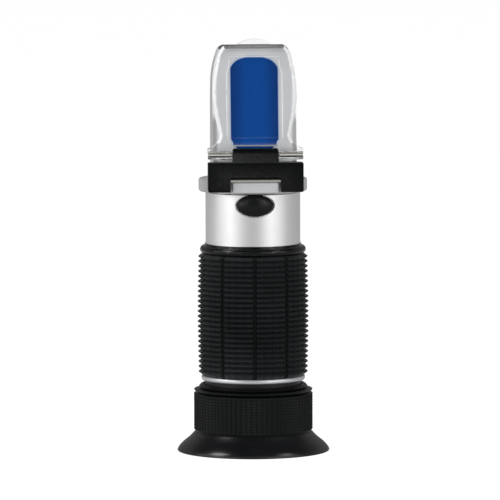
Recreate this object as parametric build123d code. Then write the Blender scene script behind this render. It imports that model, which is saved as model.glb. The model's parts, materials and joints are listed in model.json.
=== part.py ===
from build123d import *
import os
from math import cos, pi, radians, sin, tan

# Handheld refractometer, standing on its eyecup with the prism end up.
# Millimetres. The origin is the centre of the eyecup's rim, +Z points to the
# prism end, -Y is the front with the daylight plate, and X is across.

# Eyecup: the flare's points are (radius, height) between its top and its rim
RIM_R = 24.4
RIM_Z = 0.8
LIP_R = 23.8
CUP_FLARE = ((20.42, 4.5), (22.68, 2.6))
CUP_MOUTH_R = 22.7
CUP_TOP_R = 18.66
CUP_TOP_Z = 6.3
CUP_FLOOR_Z = 5.4
CUP_HOLE_R = 9.0
CUP_BOWL = ((21.3, 1.7), (18.0, 4.35), (13.5, CUP_FLOOR_Z))

# Focus ring
RING_R = 19.05
RING_RIB_DEPTH = 0.32
RING_RIBS = 76
RING_KNURL_Z = (6.8, 18.7)
RING_STEPS = ((18.98, 19.8), (17.0, 20.2), (17.34, 20.95), (16.7, 21.6))
RING_BORE_R = 15.9
RING_WEB_Z = (9.0, 11.0)

# Eyepiece tube and focusing thread
TUBE_FLANGE_R = 16.4
TUBE_FLANGE_Z = (6.6, 9.0)
SIGHT_HOLE_R = 8.0
EYE_TUBE_R = 11.9
EYE_TUBE_BORE_R = 10.2
EYE_TUBE_TOP_Z = 31.0
THREAD_PLAY = 0.05
BUSH_R = 15.5
BUSH_Z = (13.7, 34.0)
SLIDE_RING_Z = (28.0, 29.0)
SLIDE_RING_INNER_R = 10.95

# Flat land round each lens, on which it is seated
LENS_LAND = 1.0

# Barrel and grip
BARREL_R = 15.15
BARREL_BORE_R = 13.4
BARREL_Z = (24.3, 83.2)
SPIGOT_PLAY = 0.03
TRIM_Z = 22.8
TRIM_R = (15.9, 16.6)
GRIP_FOOT_R = 16.35
GRIP_VALLEY_R = 16.42
GRIP_TIP_R = (17.5, 17.8)
GRIP_BEAD = ((15.5, 66.05), (16.95, 64.8), (16.1, 63.65))
GRIP_COLLAR = (15.4, 66.8)
RIB_COUNT = 24
RIB_FIRST_Z = 62.53
RIB_PITCH = 1.61

# Head flange, lug and prism holder
FLANGE_R = 17.35
FLANGE_Z = (83.6, 87.6)
FLANGE_BEVEL = (0.45, 0.35)
FLANGE_FRONT_Y = -13.9
LUG_HALF_WIDTH = 7.65
LUG_FRONT_Y = -18.8
LUG_REACH_Y = FLANGE_FRONT_Y + 2.0
HOLDER_HALF_WIDTH = 13.3
HOLDER_FOOT_Z = FLANGE_Z[1] - 1.0
HOLDER_FRONT_Y = -12.0
HOLDER_STEP_Z = (89.0, 94.0)
HOLDER_TOP_Z = 130.2
HOLDER_NOSE_Y = 1.5
HOLDER_NOSE_BEVEL = 0.35
HOLDER_BACK_Y = 13.0
HOLDER_BACK_Z = 96.0
HOLDER_CORNER_R = 5.5
SPIGOT_BOTTOM_Z = 77.0
SPIGOT_BORE_R = 10.6
LIGHT_BORE_R = 5.5

# Prism face, which leans back from the hinge towards the nose
FACE_LEAN = 10.5
FACE_Y_AT = -13.4
FACE_Z_AT = 96.0
PRISM_PROUD = 0.1
WINDOW_HALF_WIDTH = 7.55
WINDOW_Z = (97.6, 126.75)
WINDOW_CORNER = (2.2, 3.2)
SEAL_WIDTH = 0.45
PRISM_NOSE_DEPTH = 2.6
PRISM_BASE_Y = 4.0

# Hinge: the rod in the lug carries the arm, and the pin carries the plate
ROD_Y = -18.2
ROD_Z = 88.3
ROD_R = 0.8
PIN_Y = -17.4
PIN_Z = 96.5
PIN_R = 0.65
HINGE_PLAY = 0.05
HINGE_HALF_LENGTH = 15.1
PIN_HALF_LENGTH = 15.0

# Hinge arm
ARM_HALF_WIDTH = 15.15
ARM_FRONT_Y = -20.2
ARM_BACK_Y = -15.6
ARM_Z = (84.6, 93.95)
NOTCH_HALF_WIDTH = 8.0
NOTCH_TOP_Z = 89.25
ARM_FOOT_R = 0.7
TONGUE_HALF_WIDTH = 7.3
TONGUE_R = 1.9

# Daylight plate
PLATE_GAP = 0.8
PLATE_PAD_GAP = 0.4
PLATE_THICK = 2.4
PLATE_RIM_R = 1.2
PLATE_BOTTOM_Z = 98.8
PLATE_TOP_Z = 130.4
PAD_HALF_WIDTH = (8.8, 8.0)
PAD_STEP_Z = (121.7, 123.9)
PAD_TOP_Z = 126.8
EAR_INNER_X = 7.65
EAR_TOP_Z = 100.0
EAR_BOTTOM_Z = 94.0
EAR_R = 1.75
TAB_TOP_Z = 132.6
TAB_HALF_WIDTH = 5.9
TAB_OUT = (1.4, 2.6)

# Calibration screw and its plug
SCREW_Z = 79.9
PLUG_HALF_WIDTH = 5.85
PLUG_HALF_HEIGHT = 3.5
PLUG_RIM = (0.45, 0.3)
PLUG_CROWN_Y = -13.6
PLUG_CROWN_SIZE = (7.6, 2.7, 4.6)
PLUG_STEM_R = 2.2
PLUG_STEM_END_Y = -13.1
RECESS_R = 14.3
ACCESS_HOLE_R = (2.4, 2.25)
SCREW_HEAD_R = 2.0
SCREW_HEAD_Y = (-12.9, -11.75)
SCREW_SHANK_R = 1.2
SCREW_TIP_Y = -8.95
SCREW_SLOT = (0.5, 0.5)

# Inside optics, from the eye up: heights, and radii where they aren't set by a fit
SIT = 0.05
EYE_LENS = (10.6, 12.4, 1.4, 1.6)
SPACER_Z = (12.5, 20.4)
SPACER_BORE_R = 9.2
FIELD_LENS = (20.5, 21.9, 1.5, 1.2)
LENS_RETAINER_Z = (22.0, 24.0)
LENS_RETAINER_BORE_R = 9.0
RETICLE_CELL_Z = (41.0, 42.0, 45.0)
RETICLE_CELL_R = (7.5, 9.0)
RETICLE_TOP_Z = 43.5
RETICLE_RING_TOP_Z = 44.8
RETICLE_RING_BORE_R = 7.6
BAFFLE_Z = (56.0, 56.8)
BAFFLE_BORE_R = 6.5
CELL_Z = (69.0, 70.0, 81.6)
CELL_R = (6.4, 7.2, 8.8)
CELL_FLAT_Y = 8.4
OBJECTIVE_LENS = (70.9, 71.7, 0.6, 1.2)
OBJECTIVE_RETAINER_Z = (72.9, 74.2)
OBJECTIVE_RETAINER_BORE_R = 6.3
STRIP_HALF_WIDTH = 2.5
STRIP_Y = (8.45, 9.1, 10.2)
STRIP_Z = (69.5, 78.5, 81.6)
STOP_Z = (81.8, 82.6)
STOP_SLOT_HALF = (4.5, 2.5)

# Longer than any cut through the head or barrel needs
REACH = 40.0


def turned(*corners):
    """A solid turned about the Z axis from its corners (radius, height)."""
    outline = Polyline([(r, 0, z) for r, z in corners], close=True)
    return revolve(make_face(outline), Axis.Z, 360)


def ring(outer_r, inner_r, low_z, high_z):
    """A plain ring or, with an inner radius of 0, a disc."""
    return turned((inner_r, low_z), (outer_r, low_z), (outer_r, high_z), (inner_r, high_z))


def arc_through(*corners):
    """An arc through three points (radius, height) of a turned outline."""
    return ThreePointArc(*[(r, 0, z) for r, z in corners])


def across(low_x, high_x, *corners):
    """A solid of one side profile (y, z), from low_x to high_x."""
    outline = Polyline([(low_x, y, z) for y, z in corners], close=True)
    return extrude(make_face(outline), high_x - low_x, dir=(1, 0, 0))


def rod_x(radius, half_length, y, z):
    """A round bar along X."""
    return Pos(0, y, z) * Rot(0, 90, 0) * Cylinder(radius, 2 * half_length)


def along_y(radius, low_y, high_y):
    """A round bar along Y on the calibration screw's axis."""
    middle = (low_y + high_y) / 2
    return Pos(0, middle, SCREW_Z) * Rot(90, 0, 0) * Cylinder(radius, high_y - low_y)


def box(x, y, z):
    """A box between pairs of limits."""
    size = [high - low for low, high in (x, y, z)]
    middle = [(low + high) / 2 for low, high in (x, y, z)]
    return Pos(*middle) * Box(*size)


def face_y(z, out=0.0):
    """Where the plane that stands out mm in front of the holder's face is at height z."""
    lean = radians(FACE_LEAN)
    return FACE_Y_AT + tan(lean) * (z - FACE_Z_AT) - out / cos(lean)


def slab(half_width, low_z, high_z, back_out, front_out):
    """A flat slab parallel to the prism face, between two distances in front of it."""
    return across(
        -half_width,
        half_width,
        (face_y(low_z, back_out), low_z),
        (face_y(low_z, front_out), low_z),
        (face_y(high_z, front_out), high_z),
        (face_y(high_z, back_out), high_z),
    )


def from_front(outline):
    """A front outline drawn in x and z, carried through the whole depth of the head."""
    return extrude(Pos(0, -REACH, 0) * outline, 2 * REACH, dir=(0, 1, 0))


def mirrored_outline(*right_side):
    """A closed front outline from its right half, drawn upwards from the centre line."""
    right = Curve() + list(right_side)
    return make_face([*right.edges(), *mirror(right, Plane.YZ).edges()])


def front_face(solid):
    """The flat face of a solid that shows the most towards the front."""
    return max(solid.faces(), key=lambda face: -face.normal_at().Y * face.area)


def window_outline(grow=0.0):
    """The prism's window: arched top, straight sides and cut lower corners."""
    half = WINDOW_HALF_WIDTH + grow
    low, high = WINDOW_Z[0] - grow, WINDOW_Z[1] + grow
    cut_x, cut_z = WINDOW_CORNER
    foot = Line((0, 0, low), (half - cut_x, 0, low))
    corner = Line(foot @ 1, (half, 0, low + cut_z))
    side = Line(corner @ 1, (half, 0, high - 3.6))
    shoulder = ThreePointArc(side @ 1, (half - 1.05, 0, high - 1.95), (half - 3.2, 0, high - 0.62))
    arch = ThreePointArc(shoulder @ 1, (half - 5.4, 0, high - 0.12), (0, 0, high))
    return mirrored_outline(foot, corner, side, shoulder, arch)


def nose_outline():
    """The head's front outline: straight sides that round over to a flat nose."""
    half = HOLDER_HALF_WIDTH
    top = HOLDER_TOP_Z
    foot = Line((0, 0, HOLDER_FOOT_Z), (half, 0, HOLDER_FOOT_Z))
    side = Line(foot @ 1, (half, 0, top - 12.7))
    cheek = ThreePointArc(side @ 1, (half - 0.4, 0, top - 7.2), (half - 1.5, 0, top - 2.6))
    corner = ThreePointArc(cheek @ 1, (half - 2.3, 0, top - 0.9), (half - 3.6, 0, top))
    nose = Line(corner @ 1, (0, 0, top))
    return mirrored_outline(foot, side, cheek, corner, nose)


def make_eyecup():
    """Soft flared cup: a thin skirt, a floor on the tube's flange and a round sight hole."""
    low_mouth, bowl_mid, bowl_end = CUP_BOWL
    flare = Spline(
        [(r, 0, z) for r, z in ((CUP_TOP_R, CUP_TOP_Z), *CUP_FLARE, (RIM_R, RIM_Z))],
        tangents=[(0.6, 0, -0.8), (0.42, 0, -0.91)],
    )
    lip = arc_through((RIM_R, RIM_Z), (RIM_R - 0.12, 0.24), (LIP_R, 0))
    inside = Polyline([(LIP_R, 0, 0), (CUP_MOUTH_R, 0, 0), (low_mouth[0], 0, low_mouth[1])])
    bowl = arc_through(low_mouth, bowl_mid, bowl_end)
    seat = [
        bowl_end,
        (CUP_HOLE_R, CUP_FLOOR_Z),
        (CUP_HOLE_R, TUBE_FLANGE_Z[0]),
        (TUBE_FLANGE_R, TUBE_FLANGE_Z[0]),
        (TUBE_FLANGE_R, CUP_TOP_Z),
        (CUP_TOP_R, CUP_TOP_Z),
    ]
    floor = Polyline([(r, 0, z) for r, z in seat])
    return revolve(make_face([flare, lip, *inside.edges(), bowl, *floor.edges()]), Axis.Z, 360)


def make_focus_ring():
    """Knurled ring with a stepped conical shoulder, keyed on the eyepiece tube's flange."""
    low, high = RING_KNURL_Z
    root_r = RING_R - RING_RIB_DEPTH
    body = turned(
        (TUBE_FLANGE_R, CUP_TOP_Z),
        (CUP_TOP_R, CUP_TOP_Z),
        (root_r, low),
        (root_r, high),
        (root_r - 0.6, high + 0.45),
        *RING_STEPS,
        (RING_BORE_R, RING_STEPS[-1][1]),
        (RING_BORE_R, RING_WEB_Z[1]),
        (EYE_TUBE_R, RING_WEB_Z[1]),
        (EYE_TUBE_R, RING_WEB_Z[0]),
        (TUBE_FLANGE_R, RING_WEB_Z[0]),
    )
    return body + ribbed_band(RING_R, RING_RIB_DEPTH, RING_RIBS, low, high)


def ribbed_band(radius, depth, count, low_z, high_z):
    """A band of upright V ribs round the Z axis."""
    points = []
    for step in range(2 * count):
        angle = pi * step / count
        r = radius if step % 2 else radius - depth
        points.append((r * cos(angle), r * sin(angle), low_z))
    band = extrude(make_face(Polyline(points, close=True)), high_z - low_z)
    return band - ring(radius - 2 * depth, 0, low_z - 1, high_z + 1)


def make_eyepiece_tube():
    """Sliding tube: an outer thread, a groove for the slide ring and a flange below."""
    low, high = TUBE_FLANGE_Z
    body = turned(
        (SIGHT_HOLE_R, low),
        (TUBE_FLANGE_R, low),
        (TUBE_FLANGE_R, high),
        (EYE_TUBE_R, high),
        (EYE_TUBE_R, EYE_TUBE_TOP_Z),
        (EYE_TUBE_BORE_R, EYE_TUBE_TOP_Z),
        (EYE_TUBE_BORE_R, high),
        (SIGHT_HOLE_R, high),
    )
    ring_low, ring_high = SLIDE_RING_Z
    groove_r = SLIDE_RING_INNER_R - THREAD_PLAY
    return body - ring(
        EYE_TUBE_R + 1, groove_r, ring_low - THREAD_PLAY, ring_high + THREAD_PLAY
    )


def make_friction_ring():
    """Plain ring that slides in the bush with the eyepiece tube."""
    return ring(EYE_TUBE_R, SLIDE_RING_INNER_R, *SLIDE_RING_Z)


def lens(radius, low_z, high_z, low_bulge, high_bulge):
    """A lens with a flat edge, a seating land and a spherical surface on each side."""
    clear = radius - LENS_LAND
    rim = Polyline([(clear, 0, low_z), (radius, 0, low_z), (radius, 0, high_z), (clear, 0, high_z)])
    upper = sagitta_arc(clear, high_z, high_bulge)
    middle = Line((0, 0, high_z + high_bulge), (0, 0, low_z - low_bulge))
    lower = sagitta_arc(clear, low_z, -low_bulge)
    return revolve(make_face([*rim.edges(), upper, middle, lower]), Axis.Z, 360)


def sagitta_arc(radius, z, bulge):
    """Half of a lens surface, from its edge to the axis."""
    sphere = (radius**2 + bulge**2) / (2 * bulge)
    half = radius / 2
    drop = abs(sphere) - (sphere**2 - half**2) ** 0.5
    rise = abs(bulge) - drop
    mid_z = z + rise if bulge > 0 else z - rise
    return ThreePointArc((radius, 0, z), (half, 0, mid_z), (0, 0, z + bulge))


def make_barrel_tube():
    """Aluminium tube with the oval recess and the screw's access hole."""
    tube = ring(BARREL_R, BARREL_BORE_R, *BARREL_Z)
    oval = oval_through(PLUG_HALF_WIDTH + PLUG_RIM[0], PLUG_HALF_HEIGHT + PLUG_RIM[1])
    recess = oval & ring(BARREL_R + 2, RECESS_R, *BARREL_Z)
    return tube - recess - along_y(ACCESS_HOLE_R[0], -REACH, FLANGE_FRONT_Y + 3)


def oval_through(half_width, half_height):
    """An oval bar along -Y at the calibration screw."""
    oval = Plane.XZ * Pos(0, SCREW_Z) * Ellipse(half_width, half_height)
    return extrude(oval, REACH, dir=(0, -1, 0))


def make_screw_plug():
    """Domed oval plug with a short stem that fills the access hole."""
    oval = oval_through(PLUG_HALF_WIDTH, PLUG_HALF_HEIGHT)
    floor_r = RECESS_R + SIT
    pad = oval & ring(BARREL_R + 0.1, floor_r, *BARREL_Z)
    crown = Pos(0, PLUG_CROWN_Y, SCREW_Z) * scale(Sphere(1.0), by=PLUG_CROWN_SIZE)
    dome = crown & oval & ring(BARREL_R + 3, floor_r, *BARREL_Z)
    stem = along_y(PLUG_STEM_R, -floor_r - 0.3, PLUG_STEM_END_Y)
    return pad + dome + stem


def make_grip_sleeve():
    """Rubber sleeve: a rounded bead above a stack of sharp ribs, slightly crowned."""
    last_z = RIB_FIRST_Z - (RIB_COUNT - 1) * RIB_PITCH
    corners = [(BARREL_R, BARREL_Z[0]), (GRIP_FOOT_R, BARREL_Z[0])]
    for rib in reversed(range(RIB_COUNT)):
        tip_z = RIB_FIRST_Z - rib * RIB_PITCH
        crown = sin(pi * (tip_z - last_z) / (RIB_FIRST_Z - last_z))
        tip_r = GRIP_TIP_R[0] + (GRIP_TIP_R[1] - GRIP_TIP_R[0]) * crown
        corners.append((GRIP_VALLEY_R, tip_z - RIB_PITCH / 2))
        corners.append((tip_r, tip_z))
    bead_top, bead_mid, bead_foot = GRIP_BEAD
    corners.append(bead_foot)
    ribs = Polyline([(r, 0, z) for r, z in corners])
    bead = arc_through(bead_foot, bead_mid, bead_top)
    collar_r, collar_z = GRIP_COLLAR
    inside = Polyline(
        [bead @ 1, (collar_r, 0, collar_z), (BARREL_R, 0, collar_z), (BARREL_R, 0, BARREL_Z[0])]
    )
    return revolve(make_face([*ribs.edges(), bead, *inside.edges()]), Axis.Z, 360)


def make_trim_ring():
    """Polished ring clamped between the bush's shoulder and the tube."""
    low_r, full_r = TRIM_R
    top_z = BARREL_Z[0]
    return turned(
        (BARREL_BORE_R, TRIM_Z),
        (low_r, TRIM_Z),
        (full_r, TRIM_Z + 0.6),
        (full_r, top_z - 0.3),
        (full_r - 0.2, top_z),
        (BARREL_BORE_R, top_z),
    )


def make_focus_bush():
    """Black bush: its inner thread carries the eyepiece tube."""
    low, high = BUSH_Z
    bore = EYE_TUBE_R + THREAD_PLAY
    spigot = BARREL_BORE_R - SPIGOT_PLAY
    return turned(
        (bore, low), (BUSH_R, low), (BUSH_R, TRIM_Z), (spigot, TRIM_Z), (spigot, high), (bore, high)
    )


def make_head_block():
    """Flange, lug, prism holder and threaded spigot, in one casting."""
    low, high = FLANGE_Z
    foot_bevel, top_bevel = FLANGE_BEVEL
    flange = turned(
        (0, low),
        (FLANGE_R - foot_bevel, low),
        (FLANGE_R, low + foot_bevel),
        (FLANGE_R, high - top_bevel),
        (FLANGE_R - top_bevel, high),
        (0, high),
    )
    flange -= box((-REACH, REACH), (-REACH, FLANGE_FRONT_Y), (low - 1, high + 1))
    spigot = ring(BARREL_BORE_R - SPIGOT_PLAY, 0, SPIGOT_BOTTOM_Z, low)
    head = flange + spigot + make_holder() + make_lug()
    head -= ring(SPIGOT_BORE_R, 0, SPIGOT_BOTTOM_Z - 1, low - 1.0)
    head -= ring(LIGHT_BORE_R, 0, low - 2, WINDOW_Z[0] + 1)
    head -= prism_wedge(window_outline(SEAL_WIDTH), SEAL_WIDTH)
    access = along_y(ACCESS_HOLE_R[1], -REACH, SCREW_HEAD_Y[1] + SIT)
    head -= access & ring(BARREL_BORE_R, 0, SPIGOT_BOTTOM_Z, low)
    head -= along_y(SCREW_SHANK_R + SIT, SCREW_HEAD_Y[1], SCREW_TIP_Y)
    return head


def make_holder():
    """Wedge-shaped prism holder: its front leans back and its rear tapers to the nose."""
    step_low, step_high = HOLDER_STEP_Z
    bevel_z = HOLDER_TOP_Z - HOLDER_NOSE_BEVEL
    side = across(
        -HOLDER_HALF_WIDTH,
        HOLDER_HALF_WIDTH,
        (HOLDER_FRONT_Y, HOLDER_FOOT_Z),
        (HOLDER_FRONT_Y, step_low),
        (face_y(step_high), step_high),
        (face_y(bevel_z), bevel_z),
        (face_y(HOLDER_TOP_Z) + HOLDER_NOSE_BEVEL, HOLDER_TOP_Z),
        (HOLDER_NOSE_Y, HOLDER_TOP_Z),
        (HOLDER_BACK_Y, HOLDER_BACK_Z),
        (HOLDER_BACK_Y, HOLDER_FOOT_Z),
    )
    holder = side & from_front(nose_outline())
    depth = 2 * HOLDER_BACK_Y + 1
    plan = RectangleRounded(2 * HOLDER_HALF_WIDTH, depth, HOLDER_CORNER_R)
    column = extrude(Pos(0, HOLDER_BACK_Y - depth / 2, HOLDER_FOOT_Z) * plan, REACH + 10)
    front_keep = box((-REACH, REACH), (-REACH, -3), (HOLDER_FOOT_Z - 1, HOLDER_TOP_Z + 1))
    return holder & (column + front_keep)


def make_lug():
    """Front lug: a shelf under the hinge rod and a saddle behind it."""
    saddle_y = ROD_Y + 0.3
    saddle_z = ROD_Z + ROD_R - 0.15
    shelf = across(
        -LUG_HALF_WIDTH,
        LUG_HALF_WIDTH,
        (LUG_REACH_Y, FLANGE_Z[0] + 0.4),
        (LUG_FRONT_Y + 0.9, FLANGE_Z[0] + 0.2),
        (LUG_FRONT_Y, FLANGE_Z[0] + 0.8),
        (LUG_FRONT_Y, ROD_Z - ROD_R - 0.05),
        (saddle_y, ROD_Z - ROD_R),
        (saddle_y, saddle_z),
        (saddle_y + 2.0, saddle_z),
        (saddle_y + 3.3, FLANGE_Z[1]),
        (LUG_REACH_Y, FLANGE_Z[1]),
    )
    side_edges = shelf.edges().filter_by(Axis.Z).group_by(Axis.Y)[0]
    shelf = chamfer(side_edges, 0.5)
    return shelf - rod_x(ROD_R, REACH, ROD_Y, ROD_Z)


def prism_wedge(outline, extra=0.0):
    """The prism's block: it is thin at the nose and deep at its lower, light-giving end."""
    low, high = WINDOW_Z[0] - extra, WINDOW_Z[1] + extra
    block = across(
        -HOLDER_HALF_WIDTH,
        HOLDER_HALF_WIDTH,
        (face_y(low, PRISM_PROUD), low),
        (face_y(high, PRISM_PROUD), high),
        (face_y(high) + PRISM_NOSE_DEPTH + extra, high),
        (PRISM_BASE_Y + extra, low),
    )
    return block & from_front(outline)


def make_prism():
    """Glass wedge prism."""
    return prism_wedge(window_outline())


def make_prism_gasket():
    """Thin bead of sealant round the prism at the holder's face."""
    band = slab(HOLDER_HALF_WIDTH, WINDOW_Z[0] - 2, WINDOW_Z[1] + 2, -0.8, SIT)
    band = band & from_front(window_outline(SEAL_WIDTH - 0.03))
    return band - from_front(window_outline())


def make_hinge_rod():
    """Lower steel rod, fixed in the lug's saddle."""
    return rod_x(ROD_R, HINGE_HALF_LENGTH, ROD_Y, ROD_Z)


def make_plate_pin():
    """Upper steel pin, pressed through the hinge arm's tongue."""
    return rod_x(PIN_R, PIN_HALF_LENGTH, PIN_Y, PIN_Z)


def make_hinge_arm():
    """T-shaped block: two legs on the rod, a cross bar, and a tongue that holds the pin."""
    low, high = ARM_Z
    bar = across(
        -ARM_HALF_WIDTH,
        ARM_HALF_WIDTH,
        (ARM_FRONT_Y, low),
        (ARM_BACK_Y - 1.5, low),
        (ARM_BACK_Y, low + 1.5),
        (ARM_BACK_Y, high),
        (ARM_FRONT_Y, high),
    )
    bar = fillet(bar.edges().filter_by(Axis.X).group_by(Axis.Y)[0], 0.45)
    bar = fillet(bar.edges().filter_by(Axis.Z), 0.4) & from_front(bar_outline())
    tongue = across(
        -TONGUE_HALF_WIDTH,
        TONGUE_HALF_WIDTH,
        (ARM_BACK_Y, high - 1),
        (PIN_Y + TONGUE_R, PIN_Z),
        (PIN_Y - TONGUE_R, PIN_Z),
        (ARM_FRONT_Y, high - 1),
    )
    knuckle = rod_x(TONGUE_R, TONGUE_HALF_WIDTH, PIN_Y, PIN_Z)
    knuckle = chamfer(knuckle.edges().filter_by(GeomType.CIRCLE), 0.4)
    notch = box((-NOTCH_HALF_WIDTH, NOTCH_HALF_WIDTH), (-REACH, -10), (low - 1, NOTCH_TOP_Z))
    arm = bar + tongue + knuckle - notch
    arm -= rod_x(ROD_R + HINGE_PLAY, REACH, ROD_Y, ROD_Z)
    return arm - rod_x(PIN_R, REACH, PIN_Y, PIN_Z)


def bar_outline():
    """The cross bar from the front: its two lower corners are rounded."""
    half = ARM_HALF_WIDTH
    low, high = ARM_Z
    inset = ARM_FOOT_R * (1 - sin(radians(45)))
    foot = Line((0, 0, low), (half - ARM_FOOT_R, 0, low))
    corner = ThreePointArc(foot @ 1, (half - inset, 0, low + inset), (half, 0, low + ARM_FOOT_R))
    side = Line(corner @ 1, (half, 0, high))
    top = Line(side @ 1, (0, 0, high))
    return mirrored_outline(foot, corner, side, top)


def plate_outline():
    """The clear plate from the front: full cheeks, a waist and flared hinge ears."""
    half = HINGE_HALF_LENGTH
    foot = Line((0, 0, EAR_BOTTOM_Z), (half, 0, EAR_BOTTOM_Z))
    ear = Line(foot @ 1, (half, 0, 98.2))
    flare = ThreePointArc(ear @ 1, (12.3, 0, 99.9), (11.3, 0, 102.4))
    waist = ThreePointArc(flare @ 1, (12.2, 0, 106.3), (13.15, 0, 111.2))
    cheek = ThreePointArc(waist @ 1, (13.25, 0, 118.8), (11.95, 0, 125.6))
    corner = ThreePointArc(cheek @ 1, (11.05, 0, 128.7), (9.7, 0, PLATE_TOP_Z))
    nose = Line(corner @ 1, (0, 0, PLATE_TOP_Z))
    return mirrored_outline(foot, ear, flare, waist, cheek, corner, nose)


def pad_outline():
    """The raised pad on the plate's back, which presses the sample: it steps in near the top."""
    full, narrow = PAD_HALF_WIDTH
    step_low, step_high = PAD_STEP_Z
    foot = Line((0, 0, PLATE_BOTTOM_Z), (full - 1.5, 0, PLATE_BOTTOM_Z))
    corner = Line(foot @ 1, (full, 0, PLATE_BOTTOM_Z + 2.5))
    side = Line(corner @ 1, (full, 0, step_low))
    step = Line(side @ 1, (narrow, 0, step_high))
    neck = Line(step @ 1, (narrow, 0, PAD_TOP_Z))
    top = Line(neck @ 1, (0, 0, PAD_TOP_Z))
    return mirrored_outline(foot, corner, side, step, neck, top)


def make_daylight_plate():
    """Clear plate with a pressing pad behind, a finger tab and two ears on the pin."""
    back = PLATE_GAP
    front = PLATE_GAP + PLATE_THICK
    outline = from_front(plate_outline())
    plate = slab(HINGE_HALF_LENGTH + 1, PLATE_BOTTOM_Z, PLATE_TOP_Z, back, front) & outline
    plate = fillet(front_face(plate).edges(), PLATE_RIM_R)
    pad = slab(HOLDER_HALF_WIDTH, PLATE_BOTTOM_Z, PAD_TOP_Z, PLATE_PAD_GAP, back + 0.2)
    plate += pad & from_front(pad_outline())
    plate += make_tab()
    for side in (-1, 1):
        plate += make_ear(side) & outline
    return plate - rod_x(PIN_R + HINGE_PLAY, REACH, PIN_Y, PIN_Z)


def make_tab():
    """Finger tab: a thin crescent above the plate's top edge."""
    blade = slab(TAB_HALF_WIDTH, PLATE_TOP_Z - 2, TAB_TOP_Z, *TAB_OUT)
    crown = ThreePointArc(
        (-TAB_HALF_WIDTH, 0, PLATE_TOP_Z), (0, 0, TAB_TOP_Z), (TAB_HALF_WIDTH, 0, PLATE_TOP_Z)
    )
    base = Line(crown @ 1, crown @ 0)
    return blade & from_front(make_face([crown, base]))


def make_ear(side):
    """One hinge ear, from the plate's lower corner to its knuckle on the pin."""
    inner, outer = sorted((side * EAR_INNER_X, side * HINGE_HALF_LENGTH))
    back = PLATE_GAP
    front = PLATE_GAP + PLATE_THICK
    web = across(
        inner,
        outer,
        (face_y(EAR_TOP_Z, back), EAR_TOP_Z),
        (face_y(PLATE_BOTTOM_Z, back), PLATE_BOTTOM_Z),
        (PIN_Y + 1.2, PIN_Z - 1.25),
        (PIN_Y - 1.5, PIN_Z + 0.9),
        (face_y(EAR_TOP_Z, front), EAR_TOP_Z),
    )
    knuckle = Pos((inner + outer) / 2, PIN_Y, PIN_Z) * Rot(0, 90, 0) * Cylinder(EAR_R, outer - inner)
    return web + knuckle


def make_calibration_screw():
    """Slotted screw whose tip bears on the objective cell."""
    head_y = SCREW_HEAD_Y[0]
    head = along_y(SCREW_HEAD_R, *SCREW_HEAD_Y)
    shank = along_y(SCREW_SHANK_R, SCREW_HEAD_Y[1] - SIT, SCREW_TIP_Y)
    width, depth = SCREW_SLOT
    half = width / 2
    slot = box((-3, 3), (head_y - 1, head_y + depth), (SCREW_Z - half, SCREW_Z + half))
    return head + shank - slot


def make_head_gasket():
    """Flat seal under the flange."""
    return ring(BARREL_R - SIT, BARREL_BORE_R, BARREL_Z[1], FLANGE_Z[0])


def make_field_stop():
    """Disc with a slot, in the head's spigot."""
    half_x, half_y = STOP_SLOT_HALF
    slot = box((-half_x, half_x), (-half_y, half_y), (STOP_Z[0] - 1, STOP_Z[1] + 1))
    return ring(SPIGOT_BORE_R - SIT, 0, *STOP_Z) - slot


def make_objective_cell():
    """Tube for the objective lens, with a lip below and a flat for the strip."""
    foot_z, lip_z, top_z = CELL_Z
    lip_r, bore_r, outer_r = CELL_R
    cell = ring(outer_r, bore_r, foot_z, top_z) + ring(bore_r + 1, lip_r, foot_z, lip_z)
    flat = box((-outer_r, outer_r), (CELL_FLAT_Y, outer_r + 1), (foot_z - 1, top_z + 1))
    return cell - flat


def make_objective_lens():
    """Objective lens."""
    return lens(CELL_R[1] - SIT, *OBJECTIVE_LENS)


def make_objective_retainer():
    """Ring over the objective lens."""
    return ring(CELL_R[1] - SIT, OBJECTIVE_RETAINER_BORE_R, *OBJECTIVE_RETAINER_Z)


def make_bimetal_strip():
    """Strip from the spigot's wall to the cell, which bends with temperature."""
    near_y, leaf_y, foot_y = STRIP_Y
    low_z, foot_z, top_z = STRIP_Z
    width = (-STRIP_HALF_WIDTH, STRIP_HALF_WIDTH)
    leaf = box(width, (near_y, leaf_y), (low_z, top_z))
    foot = box(width, (leaf_y, foot_y), (foot_z, top_z))
    return leaf + foot


def make_baffle():
    """Glare stop in the tube."""
    return ring(BARREL_BORE_R - SPIGOT_PLAY, BAFFLE_BORE_R, *BAFFLE_Z)


def make_reticle_cell():
    """Seat for the reticle."""
    outer_r = BARREL_BORE_R - SPIGOT_PLAY
    lip_r, bore_r = RETICLE_CELL_R
    foot_z, seat_z, top_z = RETICLE_CELL_Z
    return ring(outer_r, bore_r, foot_z, top_z) + ring(bore_r + 1, lip_r, foot_z, seat_z)


def make_reticle():
    """Glass disc that carries the scale."""
    return ring(RETICLE_CELL_R[1] - SIT, 0, RETICLE_CELL_Z[1], RETICLE_TOP_Z)


def make_reticle_ring():
    """Ring that holds the reticle down."""
    outer_r = RETICLE_CELL_R[1] - SIT
    return ring(outer_r, RETICLE_RING_BORE_R, RETICLE_TOP_Z, RETICLE_RING_TOP_Z)


def make_eye_lens():
    """Lens next to the eye."""
    return lens(EYE_TUBE_BORE_R - SIT, *EYE_LENS)


def make_lens_spacer():
    """Tube between the two eyepiece lenses."""
    return ring(EYE_TUBE_BORE_R - SIT, SPACER_BORE_R, *SPACER_Z)


def make_field_lens():
    """Lens that faces the reticle."""
    return lens(EYE_TUBE_BORE_R - SIT, *FIELD_LENS)


def make_lens_retainer():
    """Threaded ring over the eyepiece lenses."""
    return ring(EYE_TUBE_BORE_R - SIT, LENS_RETAINER_BORE_R, *LENS_RETAINER_Z)


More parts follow.
